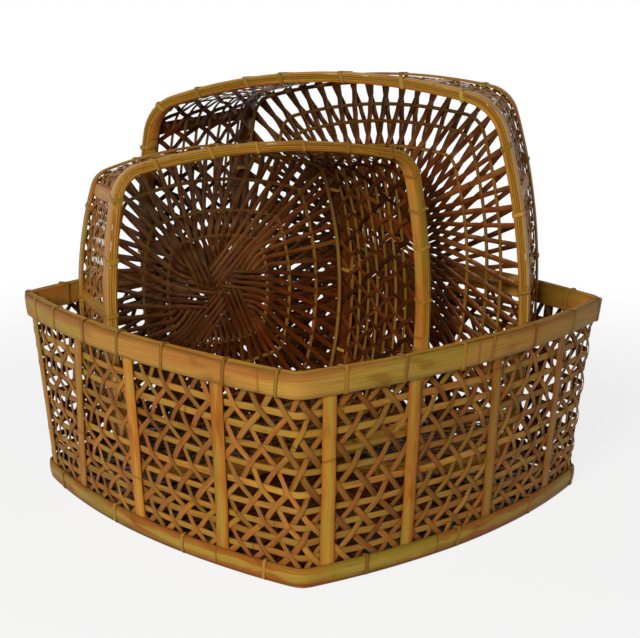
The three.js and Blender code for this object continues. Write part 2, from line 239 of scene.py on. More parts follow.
SMALL = {
    "name": "small",
    "rim_tone": 0.55,
    "seed": 13,
    "height": 175,
    "half": (202, 188.5),
    "rim_radii": (778, 42),
    "inset": (24.5, 11),
    "base_radii": (442, 28),
    "inner_band": 15,
    "strips": 54,
    "strip_width": 5.2,
    "floor_width": 6.2,
    "floor_spread": 1.5,
    "floor_level": 5.3,
    "floor_rise": 2.4,
    "rows": (135, 117, 99, 81, 63, 46, 29),
    "row_width": 4.2,
    "hoops": (0.39, 0.57, 0.79),
    "hoop_stretch": 1.0,
    "hub_turn": 47,
    "rim_lashings": (
        12, 70, 130, 195, 240, 283, 324, 379, 433, 487, 539, 600, 656, 722, 780, 842, 905, 965,
        1030, 1090, 1150, 1214, 1268,
    ),
    "base_lashings": (45, 150, 256, 360, 468, 575, 678, 785, 890, 1000, 1105, 1212),
    "stakes": {
        "west": ((656, 656), (781, 781)),
        "south": ((1024, 1024), (1205, 1205)),
        "east": ((36, 36), (215, 215)),
        "north": ((371, 371), (552, 552)),
    },
}

# Where the two standing baskets are: turn about Z from a mouth that faces -Y, lean back, roll about
# the mouth's axis, and the middle of the base
POSES = {
    "medium": (-70.4, -1.26, 3.2, (178.71, 55.34, 248.60)),
    "small": (-16.1, 3.6, 0, (-15.79, 155.56, 208.89)),
}

# Noises on bamboo: their scale for a strip's length in metres and for its width as a whole, their
# detail, and a number that tells them apart
FIBRE_NOISE = (16.0, 26.0, 3.0, 0.0)
STAIN_NOISE = (22.0, 1.5, 4.0, 7.0)
OLIVE_AND_SHEEN_NOISE = (7.0, 0.8, 2.0, 13.0)
WARM_NOISE = (0.6, 2.0, 19.0)

# Layers of colour on bamboo: each shows where its noise passes from the first level to the second,
# with this strength; on the dark strips the olive layer is a painted sheen. The edge layer is
# painted shade: it sets where a strip's edges darken, from its middle to its side
OLIVE_AND_SHEEN_LAYER = (0.46, 0.62, 1.0)
WARM_LAYER = (0.48, 0.6, 0.85)
STREAK_LAYER = (0.24, 0.06, 0.8)
FIBRE_LAYER = (0.42, 0.72, 0.45)
STAIN_LAYER = (0.54, 0.72, 0.5)
RING_LAYER = (0.01, 0.0, 0.6)
PAINTED_EDGE_SHADE = (0.28, 0.5)
STREAK_WANDER = 0.9
RING_SPACING = 0.27
RING_RELIEF = 0.8
STAIN_ROUGHNESS = 0.25
TONE_SHIFT = 53.0
RELIEF = {"Strength": 0.35, "Distance": 0.0005}
VARNISH_TINT = (1.0, 0.76, 0.42, 1)

# The camera looks at a point over the middle of the base
CAMERA_AZIMUTH = -43.69
CAMERA_ELEVATION = 17.08
CAMERA_DISTANCE = 1649.0
CAMERA_AIM_HEIGHT = 100
CAMERA_PAN = 0.30
CAMERA_TILT = 3.25
CAMERA_ROLL = 0.46
FOCAL_PIXELS = 1390.9
PICTURE_WIDTH = 640
SENSOR_WIDTH = 36
CLIP_END = 50

# The floor that the baskets stand on, in metres: it fades out between two distances, GROUND_LIFT is
# how much of it is plain white to the eye, and within the large basket's foot it has a painted
# shadow: a dark colour of its own, without the lift
GROUND_RADIUS = 3.0
GROUND_SIDES = 96
GROUND_FADE = (0.45, 1.3)
GROUND_LIFT = 0.82
GROUND_COLOUR = (0.78, 0.78, 0.77, 1)
PAINTED_SHADOW_COLOUR = (0.12, 0.11, 0.1, 1)
FOOT_SIDE_RADIUS = 0.766
UNDER_BASKET = (0.245, 0.256)

# Lights: name, watts, size, and place as seen by the camera. AMBIENT is the strength of the room
KEY_LIGHT = ("key", 74, 1.0, (-0.9, 2.55, 1.4))
FILL_LIGHT = ("fill", 1.8, 0.25, (1.72, 1.4, 0.42))
LIGHT_AIM = (0, 0, 0.2)
AMBIENT = 0.1
WHITE = (1, 1, 1, 1)


def unit(vectors):
    return vectors / np.linalg.norm(vectors, axis=-1, keepdims=True)


def turned(angle):
    return np.array([math.cos(angle), math.sin(angle)])


# Outlines and walls


def rounded_square(half, radii):
    """A rounded square with bulged sides, anticlockwise from the low end of its +X side."""
    side_radius, corner_radius = radii
    east_centre = np.array([half[0] - side_radius, 0.0])
    north_centre = np.array([0.0, half[1] - side_radius])
    between = north_centre - east_centre
    rise = math.sqrt((side_radius - corner_radius) ** 2 - between @ between / 4)
    outward = np.array([-between[1], between[0]]) / np.linalg.norm(between)
    if outward[0] < 0:
        outward = -outward
    corner = (east_centre + north_centre) / 2 + outward * rise
    east_end = math.atan2(corner[1], corner[0] - east_centre[0])
    north_start = math.atan2(corner[1] - north_centre[1], corner[0])

    def arc(centre, radius, start, end, steps):
        angles = np.linspace(start, end, steps, endpoint=False)
        return centre + radius * np.stack([np.cos(angles), np.sin(angles)], -1)

    east = arc(east_centre, side_radius, -east_end, east_end, SIDE_STEPS)
    first = arc(corner, corner_radius, east_end, north_start, CORNER_STEPS)
    north = arc(north_centre, side_radius, north_start, math.pi - north_start, SIDE_STEPS)
    second = arc(corner, corner_radius, north_start, east_end, CORNER_STEPS) * [-1, 1]
    half_way = np.concatenate([east, first, north, second])
    return np.concatenate([half_way, -half_way])


def outward_normals(outline):
    along = unit(np.roll(outline, -1, 0) - np.roll(outline, 1, 0))
    return np.stack([along[:, 1], -along[:, 0]], -1)


class Wall:
    """A basket's wall. A place on it is a distance round it, a height and a depth inwards."""

    def __init__(self, basket):
        half = np.array(basket["half"], float)
        rim = rounded_square(half, basket["rim_radii"])
        base = rounded_square(half - basket["inset"], basket["base_radii"])
        middle = (rim + base) / 2
        steps = np.linalg.norm(np.roll(middle, -1, 0) - middle, axis=-1)
        self.height = basket["height"]
        self.half = half
        self.distances = np.concatenate([[0], np.cumsum(steps)])
        self.perimeter = self.distances[-1]
        self.tables = [
            np.concatenate([table, table[:1]])
            for table in (base, rim, outward_normals(base), outward_normals(rim))
        ]

    def place(self, distance, height, depth):
        distance, height, depth = np.broadcast_arrays(distance, height, depth)
        distance = np.mod(distance, self.perimeter)
        base, rim, base_normal, rim_normal = (
            np.stack([np.interp(distance, self.distances, table[:, k]) for k in (0, 1)], -1)
            for table in self.tables
        )
        share = (height / self.height)[..., None]
        flat = base * (1 - share) + rim * share
        normal = unit(base_normal * (1 - share) + rim_normal * share)
        flat = flat - normal * np.asarray(depth, float)[..., None]
        return np.concatenate([flat, np.asarray(height, float)[..., None]], -1)

    def normals(self, distance, height):
        reach = 1.0
        ahead, behind = (self.place(distance + by, height, 0) for by in (reach, -reach))
        above, below = (self.place(distance, height + by, 0) for by in (reach, -reach))
        return unit(np.cross(ahead - behind, above - below))

    def round_trip(self, step):
        return np.linspace(0, self.perimeter, int(self.perimeter / step) + 1)

    def facing(self, distance):
        """The angle at which the foot of the wall is seen from the middle."""
        foot = self.place(distance, 0, LATTICE_DEPTH)
        return np.arctan2(foot[..., 1], foot[..., 0])

    def distance_facing(self, angles):
        """The distances round the foot at which it's seen at these angles from the middle."""
        around = self.round_trip(ANGLE_STEP)
        seen = np.unwrap(self.facing(around))
        angles = seen[0] + np.mod(angles - seen[0], 2 * math.pi)
        return np.interp(angles, seen, around)


# Meshes


def blade(width, thickness, bulge):
    """Section of a split strip: flat inside, slightly domed skin outside."""
    shoulder = 0.28
    edge_height = 0.5 - bulge
    shoulder_height = 0.5 - 0.2 * bulge
    shape = np.array(
        [
            (-0.5, -0.5),
            (0.5, -0.5),
            (0.5, edge_height),
            (shoulder, shoulder_height),
            (0, 0.5),
            (-shoulder, shoulder_height),
            (-0.5, edge_height),
        ]
    )
    return shape * (width, thickness)


def rod(diameter):
    angles = np.arange(ROD_SIDES) * 2 * math.pi / ROD_SIDES
    return np.stack([np.cos(angles), np.sin(angles)], -1) * diameter / 2


def across_of(section):
    """How far across its section each point lies, from 0 to 1."""
    reach = np.ptp(section[:, 0])
    return (section[:, 0] - section[:, 0].min()) / reach


def sweep(points, normals, section, tone, width_share=None):
    """Rings of a section carried along points: its columns are offsets sideways and outwards."""
    tangent = unit(np.gradient(points, axis=0))
    side = unit(np.cross(normals, tangent))
    outward = unit(np.cross(tangent, side))
    sideways = section[None, :, 0]
    if width_share is not None:
        sideways = sideways * width_share[:, None]
    rings = (
        points[:, None]
        + sideways[..., None] * side[:, None]
        + section[None, :, 1, None] * outward[:, None]
    )
    return {"rings": rings, "across": across_of(section), "tone": tone}


def wall_ring(wall, profile, tone):
    """A hoop round the wall. The profile's columns are height and offset outwards."""
    around = wall.round_trip(RING_STEP)[:, None]
    rings = wall.place(around, profile[None, :, 0], -profile[None, :, 1])
    return {"rings": rings, "across": across_of(profile), "tone": tone}


def part_faces(index):
    """Quads between the rings of a part and a face at each end, with each face's material: the
    first edge of its section takes the second one."""
    here = index[:-1]
    ahead = index[1:]
    quads = np.stack([here, np.roll(here, -1, 1), np.roll(ahead, -1, 1), ahead], -1)
    inside = np.zeros(quads.shape[:2], int)
    inside[:, 0] = 1
    ends = [index[0][::-1].tolist(), index[-1].tolist()]
    return quads.reshape(-1, 4).tolist() + ends, inside.reshape(-1).tolist() + [0, 0]


def part_places(part):
    """Each point's place on the strip: metres along it, and its share of the way across."""
    rings = part["rings"]
    count, ring = rings.shape[:2]
    steps = np.linalg.norm(np.diff(rings.mean(1), axis=0), axis=-1)
    along = np.concatenate([[0], np.cumsum(steps)]) * MM
    return np.stack([np.repeat(along, ring), np.tile(part["across"], count)], -1)


def make_mesh(name, parts, materials):
    """A mesh of swept parts, with each point's place on its strip and its strip's tone."""
    points = []
    faces = []
    face_materials = []
    tones = []
    start = 0
    for part in parts:
        rings = part["rings"]
        count, ring = rings.shape[:2]
        index = start + np.arange(count * ring).reshape(count, ring)
        more_faces, more_materials = part_faces(index)
        faces += more_faces
        face_materials += more_materials
        points.append(rings.reshape(-1, 3))
        tones.append(np.full(count * ring, part["tone"]))
        start += count * ring
    mesh = bpy.data.meshes.new(name)
    mesh.from_pydata((np.concatenate(points) * MM).tolist(), [], faces)
    for material in materials:
        mesh.materials.append(material)
    last = len(materials) - 1
    mesh.polygons.foreach_set("material_index", np.minimum(face_materials, last))
    mesh.polygons.foreach_set("use_smooth", np.ones(len(faces), bool))
    corner_points = np.zeros(len(mesh.loops), int)
    mesh.loops.foreach_get("vertex_index", corner_points)
    places = np.concatenate([part_places(part) for part in parts])
    layer = mesh.uv_layers.new(name="strip")
    layer.data.foreach_set("uv", places[corner_points].reshape(-1))
    attribute = mesh.attributes.new("tone", "FLOAT", "POINT")
    attribute.data.foreach_set("value", np.concatenate(tones))
    mesh.set_sharp_from_angle(angle=math.radians(SHARP_ANGLE))
    return mesh


def make_piece(name, parts, materials, body, matrix, replaces=()):
    mesh = make_mesh(name, parts, materials)
    mesh.transform(matrix)
    mesh.update()
    piece = bpy.data.objects.new(name, mesh)
    bpy.context.scene.collection.objects.link(piece)
    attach(piece, body)
    if replaces:
        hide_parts(*replaces)


# Bamboo


def linear(red, green, blue):
    """A colour as seen on a screen, turned into light."""

    def channel(value):
        return value / 12.92 if value <= 0.04045 else ((value + 0.055) / 1.055) ** 2.4

    return (channel(red), channel(green), channel(blue), 1)


class Nodes:
    """A short way to build a material's nodes."""

    def __init__(self, material):
        material.use_nodes = True
        self.tree = material.node_tree
        self.tree.nodes.clear()

    def add(self, kind, values=(), inputs=(), **settings):
        node = self.tree.nodes.new(kind)
        for key, value in settings.items():
            setattr(node, key, value)
        for key, value in dict(values).items():
            node.inputs[key].default_value = value
        for key, source in dict(inputs).items():
            self.tree.links.new(source, node.inputs[key])
        return node

    def maths(self, operation, first, second):
        node = self.tree.nodes.new("ShaderNodeMath")
        node.operation = operation
        for socket, value in zip(node.inputs, (first, second)):
            if isinstance(value, (int, float)):
                socket.default_value = value
            else:
                self.tree.links.new(value, socket)
        return node.outputs[0]

    def mix(self, factor, first, second, blend="MIX"):
        node = self.tree.nodes.new("ShaderNodeMix")
        node.data_type = "RGBA"
        node.blend_type = blend
        sockets = (node.inputs[0], node.inputs[6], node.inputs[7])
        for socket, value in zip(sockets, (factor, first, second)):
            if isinstance(value, (int, float, tuple)):
                socket.default_value = value
            else:
                self.tree.links.new(value, socket)
        return node.outputs[2]

    def mixed(self, factor, first, second):
        inputs = {0: factor, 1: first.outputs[0], 2: second.outputs[0]}
        return self.add("ShaderNodeMixShader", inputs=inputs)

    def seen_white(self):
        """One for the rays that show the background, straight or in a shiny surface."""
        path = self.add("ShaderNodeLightPath").outputs
        shiny = self.maths("MAXIMUM", path["Is Glossy Ray"], path["Is Transmission Ray"])
        return self.maths("MAXIMUM", path["Is Camera Ray"], shiny)

    def off_half(self, value):
        """How far a value is from a half."""
        return self.maths("ABSOLUTE", self.maths("SUBTRACT", value, 0.5), 0)

    def step(self, value, low, high):
        node = self.add("ShaderNodeMapRange", {1: low, 2: high}, {0: value})
        node.interpolation_type = "SMOOTHSTEP"
        return node.outputs[0]


def bamboo(
    name,
    main,
    dark,
    olive_and_sheen,
    warm,
    streak=None,
    rough=0.35,
    varied=0.4,
    gloss=0.09,
    glint=VARNISH_TINT,
    edge_shade=0.25,
    patch=9.0,
):
    """Split bamboo: long grain, olive and reddish patches, stains, rings, and old varnish. Each
    strip's edges are darkened as painted shade, and on the dark strips the olive patches are a
    lighter brown that paints sheen. Rough is how rough it is where it has no stain."""
    material = bpy.data.materials.new(name)
    nodes = Nodes(material)
    place = nodes.add("ShaderNodeUVMap", uv_map="strip").outputs[0]
    split = nodes.add("ShaderNodeSeparateXYZ", inputs={0: place}).outputs
    tone = nodes.add("ShaderNodeAttribute", attribute_name="tone").outputs["Fac"]
    along, across = split[0], split[1]
    shift = nodes.maths("MULTIPLY", tone, TONE_SHIFT)

    def noise(length_scale, cross_scale, detail, level):
        point = nodes.add(
            "ShaderNodeCombineXYZ",
            inputs={
                0: nodes.maths("MULTIPLY", along, length_scale),
                1: nodes.maths("MULTIPLY", across, cross_scale),
                2: nodes.maths("ADD", shift, level),
            },
        ).outputs[0]
        return nodes.add(
            "ShaderNodeTexNoise", {"Scale": 1.0, "Detail": detail}, {"Vector": point}
        ).outputs["Fac"]

    def laid_over(colour, over, value, layer):
        """A colour with another one laid over it where a value passes between two levels."""
        low, high, strength = layer
        weight = nodes.maths("MULTIPLY", nodes.step(value, low, high), strength)
        return nodes.mix(weight, colour, over)

    fibre = noise(*FIBRE_NOISE)
    stain = noise(*STAIN_NOISE)
    # Olive patches; on the dark strips they are a lighter brown, a painted sheen
    colour = laid_over(main, olive_and_sheen, noise(*OLIVE_AND_SHEEN_NOISE), OLIVE_AND_SHEEN_LAYER)
    colour = laid_over(colour, warm, noise(patch, *WARM_NOISE), WARM_LAYER)
    off_centre = nodes.off_half(across)
    if streak:
        wander = nodes.maths("MULTIPLY", nodes.maths("SUBTRACT", stain, 0.5), STREAK_WANDER)
        colour = laid_over(colour, streak, nodes.maths("ADD", off_centre, wander), STREAK_LAYER)
    colour = laid_over(colour, dark, fibre, FIBRE_LAYER)
    colour = laid_over(colour, dark, stain, STAIN_LAYER)
    shade = nodes.maths("MULTIPLY", nodes.maths("SUBTRACT", tone, 0.5), varied)
    # Painted shade: each strip's edges are darkened, as if shaded where strips meet
    painted_edge_shade = nodes.maths("MULTIPLY", nodes.step(off_centre, *PAINTED_EDGE_SHADE), edge_shade)
    bright = nodes.maths("ADD", nodes.maths("SUBTRACT", shade, painted_edge_shade), 1.0)
    tint = nodes.add("ShaderNodeCombineXYZ", inputs={0: bright, 1: bright, 2: bright}).outputs[0]
    colour = nodes.mix(1.0, colour, tint, "MULTIPLY")
    rings_along = nodes.maths("ADD", nodes.maths("DIVIDE", along, RING_SPACING), shift)
    off_ring = nodes.off_half(nodes.maths("FRACT", rings_along, 0))
    colour = laid_over(colour, dark, off_ring, RING_LAYER)
    near_ring = nodes.step(off_ring, *RING_LAYER[:2])
    relief = nodes.maths("ADD", fibre, nodes.maths("MULTIPLY", near_ring, RING_RELIEF))
    bump = nodes.add("ShaderNodeBump", RELIEF, {"Height": relief}).outputs[0]
    spread = nodes.maths("MULTIPLY", stain, STAIN_ROUGHNESS)
    roughness = nodes.maths("ADD", spread, rough)
    shader = nodes.add(
        "ShaderNodeBsdfPrincipled",
        {"Specular IOR Level": gloss, "Specular Tint": glint},
        {"Base Color": colour, "Normal": bump, "Roughness": roughness},
    )
    nodes.add("ShaderNodeOutputMaterial", inputs={"Surface": shader.outputs[0]})
    return material


RIM = bamboo(
    "rim_bamboo",
    linear(0.79, 0.575, 0.26),
    linear(0.52, 0.31, 0.10),
    linear(0.73, 0.60, 0.24),
    warm=linear(0.70, 0.43, 0.20),
    patch=2.4,
)
HOOP = bamboo(
    "hoop_bamboo",
    linear(0.68, 0.47, 0.16),
    linear(0.44, 0.25, 0.07),
    linear(0.64, 0.53, 0.18),
    warm=linear(0.66, 0.38, 0.14),
    streak=linear(0.72, 0.61, 0.24),
)
STAKE = bamboo(
    "stake_bamboo",
    linear(0.73, 0.46, 0.17),
    linear(0.48, 0.27, 0.08),
    linear(0.66, 0.50, 0.17),
    warm=linear(0.70, 0.39, 0.13),
    streak=linear(0.68, 0.56, 0.21),
)
TAN = bamboo(
    "tan_strip",
    linear(0.64, 0.41, 0.17),
    linear(0.36, 0.20, 0.07),
    linear(0.60, 0.45, 0.18),
    warm=linear(0.60, 0.35, 0.16),
    varied=0.7,
)
GOLD = bamboo(
    "golden_strip",
    linear(0.70, 0.50, 0.20),
    linear(0.44, 0.27, 0.09),
    linear(0.65, 0.51, 0.20),
    warm=linear(0.65, 0.40, 0.16),
    varied=0.55,
)
REED = bamboo(
    "reed",
    linear(0.68, 0.49, 0.18),
    linear(0.44, 0.28, 0.08),
    linear(0.58, 0.46, 0.15),
    warm=linear(0.62, 0.38, 0.12),
)
LASHING = bamboo(
    "lashing_cane",
    linear(0.68, 0.50, 0.20),
    linear(0.42, 0.28, 0.10),
    linear(0.58, 0.47, 0.17),
    warm=linear(0.64, 0.42, 0.17),
    varied=0.6,
)
# Dark strips: their third colour, the lighter patches, is painted sheen standing in for glints
DARK = bamboo(
    "dark_strip",
    linear(0.33, 0.15, 0.03),
    linear(0.16, 0.06, 0.01),
    linear(0.43, 0.25, 0.09),
    warm=linear(0.40, 0.17, 0.04),
    rough=0.12,
    varied=1.4,
    gloss=0.5,
    glint=(1.0, 0.6, 0.3, 1),
    edge_shade=0.3,
)
CANE = bamboo(
    "cane",
    linear(0.56, 0.39, 0.15),
    linear(0.34, 0.20, 0.07),
    linear(0.52, 0.40, 0.15),
    warm=linear(0.54, 0.32, 0.11),
)
LINING = bamboo(
    "inner_band_bamboo",
    linear(0.76, 0.52, 0.22),
    linear(0.50, 0.29, 0.10),
    linear(0.66, 0.49, 0.17),
    warm=linear(0.72, 0.43, 0.16),
)
SLOT_MATERIALS = {
    "outer_bamboo": RIM,
    "pale_bamboo": STAKE,
    "dark_bamboo": DARK,
    "weave_bamboo": GOLD,
}


# Parts of a basket


def wobble(draw, along, reach, wave):
    """A slow waver, in millimetres, of something made by hand."""
    first, second = draw.uniform(0, 2 * math.pi, 2)
    slow = np.sin(along * 2 * math.pi / wave + first)
    quick = np.sin(along * 2 * math.pi / (wave / 2) + second)
    return reach * (0.65 * slow + 0.35 * quick)


def ring_wobble(draw, wall, around, waver):
    """A waver that joins up with itself round the wall."""
    reach, wave = waver
    return wobble(draw, around, reach, wall.perimeter / round(wall.perimeter / wave))


def basket_matrix(basket):
    if basket["name"] not in POSES:
        return Matrix.Identity(4)
    turn, lean, roll, position = POSES[basket["name"]]
    spin = Matrix.Rotation(math.radians(turn), 4, "Z")
    tip = Matrix.Rotation(math.radians(90 - lean), 4, "X")
    rock = Matrix.Rotation(math.radians(roll), 4, "Z")
    return Matrix.Translation(Vector(position) * MM) @ spin @ tip @ rock


def band_profile(low, high, outer, thickness, bulge):
    """Flat band: bulge is how far its middle stands out from its edges."""
    edge = outer + bulge
    half_way = outer + 0.25 * bulge
    inner = outer + thickness
    middle = (low + high) / 2
    quarter = (high - middle) / 2
    return np.array(
        [
            (low, -inner),
            (high, -inner),
            (high, -edge - BAND_ROUNDING),
            (high - BAND_ROUNDING, -edge),
            (middle + quarter, -half_way),
            (middle, -outer),
            (middle - quarter, -half_way),
            (low + BAND_ROUNDING, -edge),
            (low, -edge - BAND_ROUNDING),
        ]
    )


def facing_in(profile):
    """The profile turned round so that its bulge faces inwards."""
    outer = profile[:, 1].max()
    inner = profile[:, 1].min()
    turned_profile = profile.copy()
    turned_profile[:, 1] = outer + inner - profile[:, 1]
    return turned_profile[::-1]


def upwards(points):
    return np.tile([0.0, 0.0, 1.0], (len(points), 1))


def rim_parts(basket, wall, draw):
    top = wall.height
    outer = band_profile(top - BAND_HEIGHT, top, 0, BAND_THICKNESS, BAND_BULGE)
    inner = band_profile(
        top - basket["inner_band"], top, INNER_BAND_OUTER, INNER_BAND_THICKNESS, BAND_BULGE
    )
    around = wall.round_trip(RING_STEP)
    reeds = []
    for depth in REED_DEPTHS:
        height = top + REED_PROUD + ring_wobble(draw, wall, around, REED_WAVER)
        points = wall.place(around, height, depth)
        reeds.append(sweep(points, upwards(points), rod(REED_DIAMETER), draw.uniform()))
    return (
        [wall_ring(wall, outer, basket["rim_tone"])],
        [wall_ring(wall, facing_in(inner), draw.uniform())],
        reeds,
    )


def lashing(wall, distance, heights, depths, slant, draw):
    """A cane bound round a rim or a hoop: a loop through four rounded corners. The heights are its
    low end outside, its low end inside and its top."""
    low, low_inside, high = heights
    outer, inner = depths
    corners = [(high, outer), (high, inner), (low_inside, inner), (low, outer)]
    loop = []
    for index, (height, depth) in enumerate(corners):
        before = corners[index - 1]
        after = corners[(index + 1) % 4]
        for toward in (before, after):
            reach = math.hypot(toward[0] - height, toward[1] - depth)
            share = min(LASHING_ROUNDING / reach, 0.45)
            loop.append(
                (height + (toward[0] - height) * share, depth + (toward[1] - depth) * share)
            )
    loop.append(loop[0])
    loop = np.array(loop)
    middle = (low + high) / 2
    sign = np.where(loop[:, 1] < (outer + inner) / 2, 1.0, -1.0)
    shift = sign * slant * (loop[:, 0] - middle) / (high - low)
    points = wall.place(distance + shift, loop[:, 0], loop[:, 1])
    centre = wall.place(distance, middle, (outer + inner) / 2)
    away = unit(points - centre)
    width = LASHING_WIDTH * draw.uniform(*LASHING_WIDTHS)
    section = blade(width, LASHING_THICKNESS, STRIP_BULGE)
    return sweep(points, away, section, draw.uniform())


def rim_lashings(basket, wall, draw):
    top = wall.height + REED_PROUD + REED_DIAMETER / 2 + LASHING_OVER
    low = wall.height - BAND_HEIGHT - LASHING_UNDER
    low_inside = wall.height - basket["inner_band"] - LASHING_UNDER
    heights = (low, low_inside, top)
    depths = (-LASHING_GAP, INNER_BAND_OUTER + INNER_BAND_THICKNESS + LASHING_GAP)
    parts = []
    for at in basket["rim_lashings"]:
        slant = LASHING_SLANT * draw.uniform(*LASHING_SLANTS)
        parts.append(lashing(wall, at, heights, depths, slant, draw))
    return parts


def base_parts(basket, wall, draw):
    hoop = band_profile(HOOP_LOW, HOOP_HIGH, 0, HOOP_THICKNESS, HOOP_BULGE)
    around = wall.round_trip(RING_STEP)
    height = UNDER_HOOP_DIAMETER / 2 + ring_wobble(draw, wall, around, UNDER_HOOP_WAVER)
    points = wall.place(around, height, UNDER_HOOP_DEPTH)
    normals = wall.normals(around, height)
    under = sweep(points, normals, rod(UNDER_HOOP_DIAMETER), draw.uniform())
    heights = (FOOT_LASHING_LOW, FOOT_LASHING_LOW, HOOP_HIGH + FOOT_LASHING_OVER)
    depths = (-LASHING_GAP, FOOT_LASHING_INNER)
    lashings = [
        lashing(wall, at, heights, depths, FOOT_LASHING_SLANT, draw)
        for at in basket["base_lashings"]
    ]
    return [wall_ring(wall, hoop, draw.uniform())], [under], lashings


def rows_met(basket):
    """The rows that a leaning strip meets, counted from the top one, and their heights. Its ends,
    under the rim and at the foot, count as rows too."""
    rows = basket["rows"]
    top = rows[0] - FIRST_ROW * (rows[0] - rows[1])
    run_out = (rows[-1] - LATTICE_FOOT) / (rows[-2] - rows[-1])
    places = [FIRST_ROW, *range(len(rows)), len(rows) - 1 + run_out]
    heights = [min(top, basket["height"] - LEANER_DROP), *rows, LATTICE_FOOT]
    return places, heights


def lattice_place(heights):
    """How deep the weave lies and how far it swings: at the foot it bends out against the hoop."""
    low, high = FOOT_BEND
    free = np.clip((heights - low) / (high - low), 0, 1)
    free = free * free * (3 - 2 * free)
    depth = FOOT_DEPTH + (LATTICE_DEPTH - FOOT_DEPTH) * free
    return depth, LATTICE_SWING * (FOOT_SWING + (1 - FOOT_SWING) * free)


def leaning_strips(basket, wall, lean, draw):
    """The strips that lean one way. They pass outside the rows and inside them by turns."""
    pitch = wall.perimeter / basket["strips"]
    places, heights = rows_met(basket)
    bottom = places[-1]
    rows = np.linspace(FIRST_ROW, bottom, int((bottom - FIRST_ROW) * STEPS_PER_ROW))
    heights = np.interp(rows, places, heights)
    middle, swing = lattice_place(heights)
    parts = []
    for k in range(basket["strips"]):
        distance = k * pitch + lean * pitch / 2 * rows
        distance = distance + draw.uniform(-STRAY, STRAY) + wobble(draw, rows, *LEANER_WAVER)
        depth = middle - lean * swing * np.cos(math.pi * rows)
        points = wall.place(distance, heights, depth)
        normals = wall.normals(distance, heights)
        width = basket["strip_width"] * draw.uniform(*LEANER_WIDTHS)
        section = blade(width, STRIP_THICKNESS, LEANER_BULGE)
        parts.append(sweep(points, normals, section, draw.uniform()))
    return parts


def weaver_rows(basket, wall, draw):
    around = wall.round_trip(ROW_STEP)
    parts = []
    for height in basket["rows"]:
        level = height + ring_wobble(draw, wall, around, ROW_WAVER)
        points = wall.place(around, level, lattice_place(level)[0])
        normals = wall.normals(around, level)
        width = basket["row_width"] * draw.uniform(*ROW_WIDTHS)
        section = blade(width, STRIP_THICKNESS, STRIP_BULGE)
        parts.append(sweep(points, normals, section, draw.uniform()))
    return parts


def stake_part(wall, top, bottom, draw):
    """A stake. Its top and bottom are distances round the wall."""
    high = wall.height - STAKE_DROP
    heights = np.linspace(high, STAKE_LOW, STAKE_STEPS)
    along = (heights - STAKE_LOW) / (high - STAKE_LOW)
    distance = bottom + (top - bottom) * along + wobble(draw, heights, *STAKE_WAVER)
    points = wall.place(distance, heights, STAKE_DEPTH)
    normals = wall.normals(distance, heights)
    section = blade(STAKE_WIDTH * draw.uniform(*STAKE_WIDTHS), STAKE_THICKNESS, STAKE_BULGE)
    return sweep(points, normals, section, draw.uniform())


def bezier(start, first, second, end, steps):
    t = np.linspace(0, 1, steps)[:, None]
    return (
        start * (1 - t) ** 3
        + first * 3 * t * (1 - t) ** 2
        + second * 3 * t**2 * (1 - t)
        + end * t**3
    )


def floor_height(basket, wall, flat, layer):
    """Height of a floor strip: the hub is raised, and each layer passes on its side of a hoop."""
    radius = np.linalg.norm(flat, axis=-1)
    squeezed = flat / (1, basket["hoop_stretch"])
    facing = np.arctan2(squeezed[:, 1], squeezed[:, 0])
    foot = wall.place(wall.distance_facing(facing), 0, LATTICE_DEPTH)
    share = np.linalg.norm(squeezed, axis=-1) / np.linalg.norm(foot[:, :2], axis=-1)
    dome = basket["floor_rise"] * np.clip(1 - radius / (DOME_SHARE * FAN_RADIUS), 0, 1)
    height = basket["floor_level"] + layer * LAYER_LIFT + dome
    for hoop in basket["hoops"]:
        near = np.exp(-(((share - hoop) * wall.half[0] / HOOP_REACH) ** 2))
        height = height + layer * HOOP_LIFT * near
    return height


def hub_start(offset, half_width):
    """How far from the middle a strip of a bundle comes into view: on the left from under the next
    bundle, and on the right from under the one before."""
    sector = 2 * math.pi / BUNDLES
    if offset > 0:
        return offset / math.tan(sector)
    return (half_width - offset * math.cos(sector)) / math.sin(sector)


def left_of(direction):
    return np.array([-direction[1], direction[0]])


